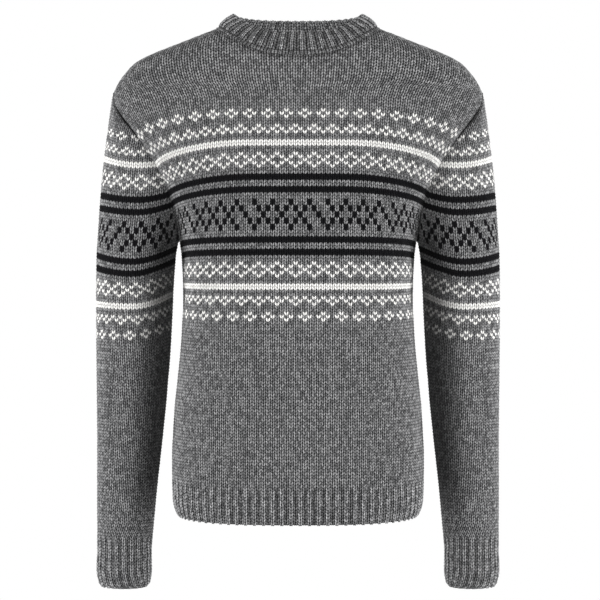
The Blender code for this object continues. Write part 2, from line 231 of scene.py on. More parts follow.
# How far a row hangs below its height at the centre front
Droop = namedtuple("Droop", "height seam")
DROOP = (
    Droop(10, 33),
    Droop(-50, 32),
    Droop(-121, 29.5),
    Droop(-161, 28),
    Droop(-208, 20),
    Droop(-250, 12),
    Droop(-293, 6),
    Droop(-330, 1),
    Droop(-372, -5),
    Droop(-450, -4),
    Droop(-600, -4),
    Droop(-690, -5),
)
SleeveDroop = namedtuple("SleeveDroop", "height outer front inner")
SLEEVE_DROOP = (
    SleeveDroop(-40, 20, 20, 20),
    SleeveDroop(-60, 20, 20, 20),
    SleeveDroop(-80, 18.8, 24.5, 20.5),
    SleeveDroop(-121, 16.5, 28.5, 20),
    SleeveDroop(-161, 15.4, 28, 18),
    SleeveDroop(-208, 20.3, 29, 12),
    SleeveDroop(-250, 20.5, 29, 10),
    SleeveDroop(-293, 18.5, 29, 10),
    SleeveDroop(-355, 23, 27, 10),
    SleeveDroop(-450, 25, 27, 18),
    SleeveDroop(-600, 26, 26, 26),
    SleeveDroop(-746, 27.9, 27.9, 27.9),
)

# Painted shade on the sleeve's side towards the body: the light left, by the share of its width from its
# outer edge, and its strength by height
PAINTED_SLEEVE_SHADE = ((0.5, 1.0), (0.61, 0.84), (0.70, 0.64), (0.79, 0.38), (0.88, 0.24), (1.0, 0.22))
PAINTED_SLEEVE_SHADE_BY_HEIGHT = ((-730, 0), (-690, 0.2), (-620, 1), (-305, 1), (-225, 0))

Fold = namedtuple("Fold", "height share slant length width depth")
BODY_FOLDS = (
    Fold(-318, 0.86, 0.5, 70, 16, 3.0),
    Fold(-372, 0.93, 0.3, 60, 18, 2.5),
    Fold(-556, 0.80, -0.2, 80, 20, 2.5),
    Fold(-590, 0.42, 0.1, 90, 22, 1.5),
)
SLEEVE_FOLDS = (
    Fold(-345, 0.72, 0.5, 60, 15, 3.0),
    Fold(-424, 0.62, -0.4, 60, 15, 3.0),
    Fold(-470, 0.70, 0.3, 70, 16, 3.5),
    Fold(-520, 0.60, -0.3, 60, 16, 2.5),
    Fold(-668, 0.45, 0.2, 70, 13, 2.0),
)

# The pattern: each line is a yarn, how many rows it takes, and the wales it shows on
Motif = namedtuple("Motif", "yarn rows repeat wales")
PLAIN = (Motif(GREY, 2, 1, ()),)
SMALL_DIAMOND = (Motif(WHITE, 1, 4, (2,)), Motif(WHITE, 1, 2, (1,)), Motif(WHITE, 1, 4, (2,)))
HALF_DIAMOND = (Motif(WHITE, 1, 4, (0,)), Motif(WHITE, 1, 2, (1,)), Motif(WHITE, 1, 2, (0,)))
LATTICE = (
    Motif(WHITE, 1, 4, (0,)),
    Motif(WHITE, 1, 2, (1,)),
    Motif(WHITE, 1, 4, (2,)),
    Motif(WHITE, 1, 2, (1,)),
    Motif(WHITE, 1, 4, (0,)),
)
WHITE_STRIPE = (Motif(WHITE, 2, 1, (0,)),)
BLACK_STRIPE = (Motif(BLACK, 2, 1, (0,)),)
ZIGZAG = (
    Motif(BLACK, 2, 4, (3,)),
    Motif(BLACK, 2, 16, (0, 2, 4, 8, 10, 12, 14)),
    Motif(BLACK, 2, 4, (1,)),
    Motif(BLACK, 2, 16, (0, 2, 6, 8, 10, 12, 14)),
    Motif(BLACK, 2, 4, (3,)),
)
UPPER_BANDS = (SMALL_DIAMOND, HALF_DIAMOND, WHITE_STRIPE, LATTICE, BLACK_STRIPE, BLACK_STRIPE)
LOWER_BANDS = (BLACK_STRIPE, BLACK_STRIPE, LATTICE, WHITE_STRIPE, HALF_DIAMOND[::-1], SMALL_DIAMOND)


def smooth(table, column, heights):
    """One column of a table at any heights, by a cubic through its rows."""
    at = np.array([row.height for row in reversed(table)], dtype=float)
    values = np.array([getattr(row, column) for row in reversed(table)], dtype=float)
    slopes = np.gradient(values, at)
    heights = np.clip(heights, at[0], at[-1])
    i = np.clip(np.searchsorted(at, heights) - 1, 0, len(at) - 2)
    span = at[i + 1] - at[i]
    t = (heights - at[i]) / span
    return (
        (2 * t**3 - 3 * t**2 + 1) * values[i]
        + (t**3 - 2 * t**2 + t) * span * slopes[i]
        + (3 * t**2 - 2 * t**3) * values[i + 1]
        + (t**3 - t**2) * span * slopes[i + 1]
    )


def normalised(vectors):
    return vectors / np.maximum(np.linalg.norm(vectors, axis=-1, keepdims=True), 1e-9)


def pattern_rows():
    """The whole pattern, row by row from the top, each with its yarn, repeat and wales."""
    rows = []
    for bands in (UPPER_BANDS + (ZIGZAG,) + LOWER_BANDS):
        for motif in bands + PLAIN:
            rows += [motif] * motif.rows
    return rows[:-2]


def yarn_chart(row_numbers, wale_numbers):
    """The yarn of each stitch, for arrays of rows and wales."""
    chart = np.full((len(row_numbers), len(wale_numbers)), GREY)
    pattern = pattern_rows()
    for i, row in enumerate(row_numbers):
        if 0 <= row < len(pattern):
            motif = pattern[row]
            chart[i] = np.where(np.isin(wale_numbers % motif.repeat, motif.wales), motif.yarn, GREY)
    return chart


class Surface:
    """A surface read at any height and any share of its section's length."""

    def __init__(self, heights, points, lengths, angles=None):
        self.low = heights[0]
        self.step = heights[1] - heights[0]
        self.points = points
        self.lengths = lengths
        self.angles = angles
        along = np.gradient(points, axis=1)
        up = np.gradient(points, axis=0)
        self.normals = normalised(np.cross(along, up))

    def read(self, grid, height, share):
        row = np.clip((height - self.low) / self.step, 0, grid.shape[0] - 1.001)
        column = np.clip(share, 0, 1) * (grid.shape[1] - 1)
        i = row.astype(int)
        j = np.minimum(column.astype(int), grid.shape[1] - 2)
        a = row - i
        b = column - j
        if grid.ndim == 3:
            a = a[..., None]
            b = b[..., None]
        lower = grid[i, j] * (1 - b) + grid[i, j + 1] * b
        upper = grid[i + 1, j] * (1 - b) + grid[i + 1, j + 1] * b
        return lower * (1 - a) + upper * a

    def length(self, height):
        row = np.clip((height - self.low) / self.step, 0, len(self.lengths) - 1.001)
        i = row.astype(int)
        return self.lengths[i] * (1 - row + i) + self.lengths[i + 1] * (row - i)


def spread(path, count):
    """A path read at even lengths, with its whole length and the places read."""
    steps = np.linalg.norm(np.diff(path, axis=0), axis=1)
    length = np.concatenate(([0], np.cumsum(steps)))
    places = np.interp(np.linspace(0, length[-1], count), length, np.linspace(0, 1, len(path)))
    at = np.linspace(0, 1, len(path))
    points = np.stack([np.interp(places, at, path[:, n]) for n in range(3)], axis=1)
    return points, length[-1], places


def seam_depth(height):
    inside = (height < SHOULDER_TIP) & (height > ARMPIT)
    angle = np.radians(smooth(CAP, "seam_angle", height))
    return np.where(inside, smooth(CAP, "depth", height) * np.sin(angle), 0.0)


def body_surface(side):
    """Half of the front or back, from its centre line to the side seam, armhole or shoulder line."""
    heights = np.arange(HEM - 4, NECK_POINT + 5, 1.0)
    facing = -1 if side == "front" else 1
    turn = np.linspace(0, 1, 161)
    rows = []
    lengths = []
    for z in heights:
        width = smooth(BODY, "half_width", z)
        depth = smooth(BODY, side + "_depth", z)
        end = math.acos((float(seam_depth(z)) / depth) ** (ROUNDNESS / 2))
        x = width * np.sin(turn * end) ** (2 / ROUNDNESS)
        y = facing * depth * np.clip(np.cos(turn * end), 0, 1) ** (2 / ROUNDNESS)
        points, length, _ = spread(np.stack([x, y, np.full_like(x, z)], axis=1), 129)
        rows.append(points)
        lengths.append(length)
    surface = Surface(heights, np.array(rows), np.array(lengths))
    if side == "back":
        surface.normals = -surface.normals
    return surface


def sleeve_surface(side, body):
    """Half of the sleeve on +X, from its outer edge round to its seam."""
    heights = np.arange(CUFF - 4, SHOULDER_TIP + 0.5, 1.0)
    facing = -1 if side == "front" else 1
    turn = np.linspace(0, 1, 161)
    rows = []
    lengths = []
    angles = []
    for z in heights:
        outer_x = smooth(SLEEVE, "outer_x", z)
        if z > ARMPIT:
            end = math.radians(smooth(CAP, "seam_angle", z))
            depth = smooth(CAP, "depth", z)
            seam_x = body.read(body.points, np.array([z]), np.array([1.0]))[0, 0]
            half = (outer_x - seam_x) / (1 - math.cos(end))
            shift = 0.0
        else:
            end = math.pi
            depth = smooth(SLEEVE, "depth", z)
            half = (outer_x - smooth(SLEEVE, "inner_x", z)) / 2
            shift = smooth(SLEEVE, "back_shift", z)
        x = outer_x - half * (1 - np.cos(turn * end))
        y = shift + facing * depth * np.sin(turn * end)
        points, length, places = spread(np.stack([x, y, np.full_like(x, z)], axis=1), 129)
        rows.append(points)
        lengths.append(length)
        angles.append(places * end)
    surface = Surface(heights, np.array(rows), np.array(lengths), np.array(angles))
    if side == "front":
        surface.normals = -surface.normals
    return surface


def fold_depth(folds, height, share):
    total = np.zeros_like(height)
    for fold in folds:
        across = (height - fold.height) + fold.slant * (share - fold.share) * 200
        along = (share - fold.share) * 200
        reach = np.exp(-((along / (fold.length / 2)) ** 2))
        total += fold.depth * reach * np.exp(-((across / fold.width) ** 2))
    return total


class Panel:
    """Maps wales and rows onto the front or back."""

    def __init__(self, side):
        self.side = side
        self.surface = body_surface(side)
        self.tip_length = float(self.surface.length(np.array([SHOULDER_TIP]))[0])

    def reach(self, height):
        """How far from the centre line the last wale lies, past the shoulder line too."""
        over = np.clip(height - SHOULDER_TIP, 0, None)
        above = self.tip_length + TIP_LEAN * TIP_FADE * (1 - np.exp(-over / TIP_FADE))
        return np.where(height > SHOULDER_TIP, above, self.surface.length(height))

    def spread_out(self, share, height):
        """Where a wale lies on its way to the edge: evenly in the middle, then drawn together."""
        even = np.clip(BODY_WALE * HALF_WALES / self.reach(height), *EVEN_RANGE)
        power = np.clip(0.8 * even / np.maximum(even - 1, 1e-3), *CROWDING_RANGE)
        return even * share - (even - 1) * share**power

    def height_and_part(self, share, row):
        """A row's height at a wale, and how far along its section the wale lies."""
        own = CHART_TOP - ROW * row
        out = self.spread_out(share, own)
        height = own - smooth(DROOP, "seam", own) * np.clip((out - 0.3) / 0.7, 0, None) ** 2
        part = self.spread_out(share, height) * self.reach(height) / self.surface.length(height)
        return height, part

    def place(self, wale, row):
        share = np.abs(wale) / HALF_WALES
        height, part = self.height_and_part(share, row)
        length = self.surface.length(height)
        point = self.surface.read(self.surface.points, height, part)
        normal = normalised(self.surface.read(self.surface.normals, height, part))
        if self.side == "front":
            point = point - normal * fold_depth(BODY_FOLDS, height, share)[..., None]
        from_seam = (1 - part) * length
        mirror = np.where(wale < 0, -1.0, 1.0)
        point[..., 0] *= mirror
        normal[..., 0] *= mirror
        return point, normal, from_seam

    def top_row(self, wale):
        """The row where each wale ends, on the neckline or on the shoulder line."""
        share = np.abs(wale) / HALF_WALES
        low = np.full(share.shape, (CHART_TOP - 20) / ROW)
        high = np.full(share.shape, 0.0)
        for _ in range(40):
            row = (low + high) / 2
            height, part = self.height_and_part(share, row)
            x = self.surface.read(self.surface.points, height, part)[..., 0]
            rise = np.clip(np.abs(x) / NECK_HALF_WIDTH, 0, 1) ** NECK_POWER[self.side]
            neck = NECK_POINT - NECK_DROP[self.side] * (1 - rise)
            outside = (height > SHOULDER_TIP) & (part > 1)
            outside |= (height > neck) | (height > NECK_POINT)
            low = np.where(outside, row, low)
            high = np.where(outside, high, row)
        return high


class SleeveMap:
    """Maps wales and rows onto the sleeve on +X; wales count from its outer edge to the back."""

    def __init__(self, panels):
        self.halves = {
            side: sleeve_surface(side, panels[side].surface) for side in ("front", "back")
        }

    def droop(self, own, angle):
        outer = smooth(SLEEVE_DROOP, "outer", own)
        front = smooth(SLEEVE_DROOP, "front", own)
        inner = smooth(SLEEVE_DROOP, "inner", own)
        side = np.where(np.cos(angle) > 0, outer, inner)
        return front * np.sin(angle) ** 2 + side * np.cos(angle) ** 2

    def half(self, surface, distance, row):
        own = CHART_TOP - ROW * row
        height = own - self.droop(own, np.zeros_like(own))
        for _ in range(12):
            length = np.maximum(surface.length(height), 1e-6)
            part = np.clip(distance / length, 0, 1)
            angle = surface.read(surface.angles, height, part)
            height = 0.5 * height + 0.5 * (own - self.droop(own, angle))
            height = np.minimum(height, SHOULDER_TIP)
        length = np.maximum(surface.length(height), 1e-6)
        part = distance / length
        point = surface.read(surface.points, height, part)
        normal = normalised(surface.read(surface.normals, height, part))
        turn = np.clip(part, 0, 1)
        point = point - normal * fold_depth(SLEEVE_FOLDS, height, turn)[..., None]
        return point, normal, length - distance

    def painted_sleeve_shade(self, points):
        """Painted shade on the side of the sleeve that faces the body: the share of light left there."""
        height = np.clip(points[..., 2], CUFF, ARMPIT)
        outer = smooth(SLEEVE, "outer_x", height)
        inner = smooth(SLEEVE, "inner_x", height)
        light = np.interp((outer - points[..., 0]) / (outer - inner), *zip(*PAINTED_SLEEVE_SHADE))
        deep = np.interp(points[..., 2], *zip(*PAINTED_SLEEVE_SHADE_BY_HEIGHT))
        return 1 - (1 - light) * deep

    def widest(self):
        return max(half.lengths.max() for half in self.halves.values())

    def inside(self, side, heights, shares):
        """Corners of the plain inner face, by height and by share of the way to the seam."""
        surface = self.halves[side]
        height, share = np.meshgrid(heights, shares, indexing="ij")
        point = surface.read(surface.points, height, share)
        normal = normalised(surface.read(surface.normals, height, share))
        depth = WALL + fold_depth(SLEEVE_FOLDS, height, share)
        return point - normal * depth[..., None]

    def place(self, wale, row):
        tight = np.interp(row, (CUFF_RIB_ROW - 4, CUFF_RIB_ROW + 1), (1, CUFF_TIGHT))
        distance = np.abs(wale) * SLEEVE_WALE * tight
        front = self.half(self.halves["front"], distance, row)
        back = self.half(self.halves["back"], distance, row)
        behind = wale > 0
        return tuple(
            np.where(behind[..., None] if f.ndim > 2 else behind, b, f)
            for f, b in zip(front, back)
        )


def stitch_relief(row_phase, across_phase):
    """Height of the stitch surface over the cloth: two rounded legs for each stitch."""
    leg = np.sin(np.pi * ((across_phase * 2) % 1))
    tuck = 0.30 + 0.70 * np.sin(np.pi * np.clip(row_phase * 0.85 + 0.12, 0, 1))
    return leg * tuck


def merge_columns(rows):
    """Numbers for the corners of a grid, where equal neighbours in a column are one corner."""
    new = np.ones(rows.shape, dtype=bool)
    new[1:] = rows[1:] != rows[:-1]
    return (np.cumsum(new.T.ravel()) - 1).reshape(rows.shape[::-1]).T


def grid_faces(index):
    return np.stack([index[:-1, :-1], index[1:, :-1], index[1:, 1:], index[:-1, 1:]], axis=-1)


def zip_up(first, first_places, second, second_places):
    """Triangles between two chains with unlike numbers of corners."""
    faces = []
    i = 0
    j = 0
    while i < len(first) - 1 or j < len(second) - 1:
        first_next = first_places[i + 1] if i < len(first) - 1 else math.inf
        second_next = second_places[j + 1] if j < len(second) - 1 else math.inf
        if first_next <= second_next:
            faces.append((first[i], first[i + 1], second[j]))
            i += 1
        else:
            faces.append((first[i], second[j + 1], second[j]))
            j += 1
    return [face for face in faces if len(set(face)) == 3]


def chain(numbers, places):
    """A chain of corners without the ones that were merged."""
    keep = np.concatenate(([True], numbers[1:] != numbers[:-1]))
    return list(numbers[keep]), list(places[keep])


def mesh_object(name, points, faces, slots, uvs, shades, materials, ring):
    """A smooth mesh object from corner, face and slot arrays; a face may repeat a corner.

    ring is how many wales lie round a closed ring, where the count starts again."""
    faces = np.asarray(faces)
    repeat = faces == np.roll(faces, 1, axis=1)
    keep = repeat.sum(axis=1) < 2
    opposite = (faces[:, 0] == faces[:, 2]) | (faces[:, 1] == faces[:, 3])
    keep &= ~opposite
    faces = faces[keep]
    repeat = repeat[keep]
    slots = np.asarray(slots)[keep]
    used = ~repeat
    counts = used.sum(axis=1)
    loops = faces[used]
    mesh = bpy.data.meshes.new(name)
    mesh.vertices.add(len(points))
    mesh.vertices.foreach_set("co", (np.asarray(points) * MM).ravel())
    mesh.loops.add(len(loops))
    mesh.loops.foreach_set("vertex_index", loops.astype(np.int32))
    mesh.polygons.add(len(faces))
    starts = np.concatenate(([0], np.cumsum(counts)[:-1])).astype(np.int32)
    mesh.polygons.foreach_set("loop_start", starts)
    mesh.polygons.foreach_set("use_smooth", np.ones(len(faces), dtype=bool))
    mesh.polygons.foreach_set("material_index", slots.astype(np.int32))
    places = np.array(uvs)[loops]
    highest = np.repeat(np.maximum.reduceat(places[:, 0], starts), counts)
    places[:, 0] += np.where(highest - places[:, 0] > ring / 2, ring, 0)
    layer = mesh.uv_layers.new(name="knit")
    layer.data.foreach_set("uv", places.ravel())
    light = mesh.attributes.new("shade", "FLOAT", "POINT")
    light.data.foreach_set("value", np.asarray(shades, dtype=np.float32))
    for material in materials:
        mesh.materials.append(material)
    mesh.update(calc_edges=True)
    mesh.validate()
    piece = bpy.data.objects.new(name, mesh)
    bpy.context.scene.collection.objects.link(piece)
    return piece


class Builder:
    """Gathers the outer stitches, inner face and rims of one closed wall of knit."""

    def __init__(self):
        self.points = []
        self.uvs = []
        self.shades = []
        self.count = 0
        self.faces = []
        self.slots = []

    def add_points(self, points, uvs, shades=None):
        start = self.count
        self.points.append(points)
        self.uvs.append(uvs)
        self.shades.append(np.ones(len(points)) if shades is None else shades)
        self.count += len(points)
        return start

    def add_faces(self, faces, slots):
        self.faces.append(faces)
        self.slots.append(slots)

    def add_triangles(self, triangles):
        faces = np.array([(a, b, c, c) for a, b, c in triangles])
        self.add_faces(faces, np.zeros(len(faces), dtype=int))

    def finish(self, name, materials, mirror=1, ring=1000):
        points = np.concatenate(self.points) * np.array([mirror, 1, 1])
        faces = np.concatenate(self.faces)
        a, b, c, d = (points[faces[:, n]] for n in range(4))
        if np.sum(np.cross(c - a, d - b) * (a + b + c + d)) < 0:
            faces = faces[:, ::-1]
        return mesh_object(
            name,
            points,
            faces,
            np.concatenate(self.slots),
            np.concatenate(self.uvs),
            np.concatenate(self.shades),
            materials,
            ring,
        )


def unique_corners(index, *grids):
    """The values of each grid at the corners that are left after merging."""
    order = np.full(index.max() + 1, -1)
    flat = index.ravel()
    order[flat[::-1]] = np.arange(flat.size)[::-1]
    return [grid.reshape(flat.size, -1)[order].squeeze() for grid in grids]


def rib_wave(wale):
    """The swell of a 1x1 rib: knit wales stand proud, purl wales sink."""
    return np.clip(1.3 * np.cos(np.pi * (wale - 0.5)) + 0.12, -1, 1)


def knit_surface(place, wale, row, rib_row, jitter):
    """Fine corners of the stitches with their relief, and their painted shade: lighter on the rib, darker
    in its purl recesses and along a seam.
    """
    rib = np.clip((row - rib_row) / 1.5, 0, 1)
    across = wale % 1
    point, normal, from_seam = place(wale, row)
    relief = stitch_relief((row - V_DROP * (1 - np.abs(2 * across - 1))) % 1, across)
    wave = rib_wave(wale)
    height = STITCH_RELIEF * (relief - MEAN_RELIEF) + RIB_RELIEF * rib * (wave - MEAN_RELIEF) + jitter
    near = np.exp(-((np.maximum(from_seam, 0) / SEAM_REACH) ** 2))
    height = height * (1 - near) + np.interp(point[..., 2], *zip(*SEAM_LIFT)) * near
    # Painted light on the rib, with painted shade in its purl recesses
    shade = 1 + rib * (RIB_PAINTED_LIGHT - RIB_PAINTED_SHADE * np.clip(0.5 - 1.1 * wave, 0, 1))
    # Painted shade along the seam
    shade *= 1 - near * np.interp(point[..., 2], *zip(*SEAM_PAINTED_SHADE))
    return point + normal * height[..., None], shade


class NodeMaths:
    """Short names for the maths nodes of one material."""

    def __init__(self, tree):
        self.nodes = tree.nodes
        self.links = tree.links

    def put(self, socket, value):
        if isinstance(value, (int, float)):
            socket.default_value = value
        else:
            self.links.new(value, socket)

    def do(self, operation, *values):
        node = self.nodes.new("ShaderNodeMath")
        node.operation = operation
        for socket, value in zip(node.inputs, values):
            self.put(socket, value)
        return node.outputs[0]

    def times(self, first, second):
        return self.do("MULTIPLY", first, second)

    def plus(self, first, second):
        return self.do("ADD", first, second)

    def scaled(self, value, factor, offset):
        return self.do("MULTIPLY_ADD", value, factor, offset)

    def ramp(self, value, low, high, to_low, to_high):
        node = self.nodes.new("ShaderNodeMapRange")
        node.interpolation_type = "SMOOTHSTEP"
        self.put(node.inputs["Value"], value)
        node.inputs["From Min"].default_value = low
        node.inputs["From Max"].default_value = high
        node.inputs["To Min"].default_value = to_low
        node.inputs["To Max"].default_value = to_high
        return node.outputs["Result"]

    def vector(self, x, y, z=0.0):
        node = self.nodes.new("ShaderNodeCombineXYZ")
        for socket, value in zip(node.inputs, (x, y, z)):
            self.put(socket, value)
        return node.outputs[0]

    def noise(self, vector, scale, detail=2.0):
        node = self.nodes.new("ShaderNodeTexNoise")
        self.links.new(vector, node.inputs["Vector"])
        node.inputs["Scale"].default_value = scale
        node.inputs["Detail"].default_value = detail
        return node.outputs["Fac"]

    def mix(self, factor, first, second):
        node = self.nodes.new("ShaderNodeMix")
        node.data_type = "RGBA"
        self.links.new(factor, node.inputs["Factor"])
        for socket, colour in ((node.inputs[6], first), (node.inputs[7], second)):
            if isinstance(colour, tuple):
                socket.default_value = colour
            else:
                self.links.new(colour, socket)
        return node.outputs[2]

    def scatter(self, vector):
        node = self.nodes.new("ShaderNodeTexWhiteNoise")
        self.links.new(vector, node.inputs["Vector"])
        return node.outputs["Value"]


def stitch_places(maths):
    """The wale and the row line at each point: rows dip to a V in each wale, and wales sway."""
    place = maths.nodes.new("ShaderNodeUVMap")
    place.uv_map = "knit"
    parts = maths.nodes.new("ShaderNodeSeparateXYZ")
    maths.links.new(place.outputs["UV"], parts.inputs["Vector"])
    row = parts.outputs["Y"]
    sway = maths.noise(maths.vector(maths.times(parts.outputs["X"], 0.9), maths.times(row, 0.55)), 1.0)
    wale = maths.scaled(sway, SWAY, maths.plus(parts.outputs["X"], -SWAY / 2))
    from_middle = maths.do("ABSOLUTE", maths.scaled(maths.do("FRACT", wale), 2.0, -1.0))
    line = maths.plus(row, maths.scaled(from_middle, V_DROP, -V_DROP))
    return wale, line


def strand_shape(maths, along, across):
    """One on the rounded leg of a stitch, falling to nothing between strands."""
    side = maths.do("ABSOLUTE", maths.scaled(across, 2.0, -1.0))
    end = maths.do("ABSOLUTE", maths.scaled(along, 2.0, -1.0))
    flattened = maths.times(maths.times(side, side), STRAND_FLATNESS)
    reach = maths.do("SQRT", maths.plus(flattened, maths.times(end, end)))
    return maths.ramp(reach, 0.50, 0.98, 1.0, 0.0)


def wool_material(wool):
    """Plied wool in stitches: its coordinates are the wale and the row of the knit."""
    material = bpy.data.materials.new(wool.name)
    material.use_nodes = True
    maths = NodeMaths(material.node_tree)
    nodes = maths.nodes
    links = maths.links
    shader = nodes["Principled BSDF"]
    shader.inputs["Roughness"].default_value = 0.95
    shader.inputs["Specular IOR Level"].default_value = 0.1
    shader.inputs["Sheen Weight"].default_value = wool.sheen
    shader.inputs["Sheen Roughness"].default_value = 0.5
    wale, line = stitch_places(maths)
    legs = maths.times(wale, 2.0)
    along = maths.do("FRACT", legs)
    across = maths.do("FRACT", line)
    strand = strand_shape(maths, along, across)
    leg_shade = maths.scatter(maths.vector(maths.do("FLOOR", legs), maths.do("FLOOR", line), 7.0))
    fleck = maths.noise(maths.vector(maths.times(wale, 3.1), maths.times(line, 1.3)), 1.0, 3.0)
    fibre = maths.noise(maths.vector(maths.times(wale, 14.0), maths.times(line, 9.0)), 2.0, 3.0)
    ply = maths.plus(maths.times(along, 2.0), maths.times(across, 1.4))
    ply = maths.plus(ply, maths.times(leg_shade, 3.0))
    ply = maths.do("SINE", maths.times(ply, 6.2832))
    shade = maths.scaled(leg_shade, wool.marl, 0.5 - wool.marl / 2)
    shade = maths.plus(shade, maths.scaled(fleck, 0.9, -0.45))
    shade = maths.plus(shade, maths.times(ply, 0.16))
    shade = maths.plus(shade, maths.scaled(fibre, 0.5, -0.25))
    # Painted shade between the strands: a darker copy of the dark ply fills the spaces between them
    gap = [channel * wool.gap for channel in wool.dark]
    yarn = maths.mix(shade, (*wool.dark, 1), (*wool.light, 1))
    yarn_and_painted_shade = maths.mix(strand, (*gap, 1), yarn)
    # The shade attribute multiplies the colour by the painted light and painted shade set on the mesh
    shade_of = nodes.new("ShaderNodeAttribute")
    shade_of.attribute_name = "shade"
    dimmed = nodes.new("ShaderNodeVectorMath")
    dimmed.operation = "SCALE"
    links.new(yarn_and_painted_shade, dimmed.inputs[0])
    links.new(shade_of.outputs["Fac"], dimmed.inputs["Scale"])
    links.new(dimmed.outputs[0], shader.inputs["Base Color"])
    bump = nodes.new("ShaderNodeBump")
    bump.inputs["Strength"].default_value = 0.8
    bump.inputs["Distance"].default_value = BUMP_HEIGHT
    links.new(maths.plus(maths.scaled(ply, 0.06, strand), maths.times(fibre, 0.25)), bump.inputs["Height"])
    links.new(bump.outputs["Normal"], shader.inputs["Normal"])
    return material


def make_panel(name, panel, rows, steps, materials, seed):
    """A panel, or a stretch of one, as a closed wall of stitches, from the top if no row is given."""
    first_row, last_row = rows
    random = np.random.default_rng(seed)
    builder = Builder()
    wales = np.linspace(-HALF_WALES, HALF_WALES, 2 * HALF_WALES * ACROSS + 1)
    starts_at_top = first_row is None
    top = panel.top_row(wales)
    first = int(math.floor(top.min())) - 1 if starts_at_top else first_row
    lines = np.arange(first, last_row + 0.5 / steps, 1 / steps)
    drop = V_DROP * (1 - np.abs(2 * (wales % 1) - 1))
    row = lines[:, None] + drop[None, :]
    if last_row == HEM_ROW:
        row = np.minimum(row, last_row)
    if starts_at_top:
        row = np.maximum(row, top[None, :])
    wale = np.broadcast_to(wales, row.shape)
    index = merge_columns(row)
    jitter = random.normal(0, STITCH_JITTER, row.shape)
    points, shade = knit_surface(panel.place, wale, row, HEM_RIB_ROW, jitter)
    if starts_at_top:
        # Painted shadow of the neckband on the rows just below the neckline
        below_band = (row - top - NECK_SHADOW_ROW) / NECK_SHADOW_ROWS
        at_neck = np.abs(points[0, :, 0]) < NECK_HALF_WIDTH
        shade *= 1 - NECK_SHADOW * np.exp(-(below_band**2)) * at_neck
    corner, uv_wale, uv_row, shade = unique_corners(index, points, wale, row, shade)
    builder.add_points(corner, np.stack([uv_wale, uv_row], axis=1), shade)
    cells = grid_faces(index)
    cell_rows = np.floor(lines[:-1] + 1e-6).astype(int)
    cell_wales = np.arange(2 * HALF_WALES) - (HALF_WALES - 1)
    chart = yarn_chart(cell_rows, cell_wales)
    slots = np.repeat(chart, ACROSS, axis=1)
    builder.add_faces(cells.reshape(-1, 4), slots.ravel())
    coarse_wales = wales[::ACROSS]
    coarse_lines = lines[::steps * 2]
    if coarse_lines[-1] < lines[-1] - 1e-6:
        coarse_lines = np.append(coarse_lines, lines[-1])
    inner_row = np.repeat(coarse_lines[:, None], len(coarse_wales), axis=1)
    if starts_at_top:
        inner_row = np.maximum(inner_row, top[None, ::ACROSS])
    inner_wale = np.broadcast_to(coarse_wales, inner_row.shape)
    inner_index = merge_columns(inner_row)
    inside, normal, _ = panel.place(inner_wale, inner_row)
    inside = inside - normal * WALL
    corner, uv_wale, uv_row = unique_corners(inner_index, inside, inner_wale, inner_row)
    start = builder.add_points(corner, np.stack([uv_wale, uv_row], axis=1))
    inner_index = inner_index + start
    inner_cells = grid_faces(inner_index)[..., ::-1]
    builder.add_faces(inner_cells.reshape(-1, 4), np.zeros(inner_cells.shape[:2]).ravel())
    for end in (0, -1):
        outside, outside_places = chain(index[:, end], row[:, end])
        within, within_places = chain(inner_index[:, end], inner_row[:, end])
        rim = zip_up(outside, outside_places, within, within_places)
        builder.add_triangles(rim if end == -1 else [face[::-1] for face in rim])
        outside = list(index[end])
        within = list(inner_index[end])
        rim = zip_up(outside, list(wales), within, list(coarse_wales))
        builder.add_triangles(rim if end == 0 else [face[::-1] for face in rim])
    return builder.finish(name, materials)


def cut_to_seam(sleeve, wales, lines, row):
    """Corner numbers and places for the sleeve's stitches, with all past the seam on it."""
    wale = np.broadcast_to(wales, row.shape).copy()
    _, _, left = sleeve.place(wale, row)
    index = np.arange(row.size).reshape(row.shape)
    middle = len(wales) // 2
    far = 4 * len(wales)
    for k in range(row.shape[0]):
        for step in (1, -1):
            c = middle
            while left[k, c] > SEAM_STOP and 0 < c < len(wales) - 1:
                c += step
            span = slice(c, None) if step > 0 else slice(0, c + 1)
            index[k, span] = index[k, c]
            wale[k, span] = step * far
            row[k, span] = lines[k] + V_DROP / 2
    return index, wale, np.minimum(row, CUFF_ROW)


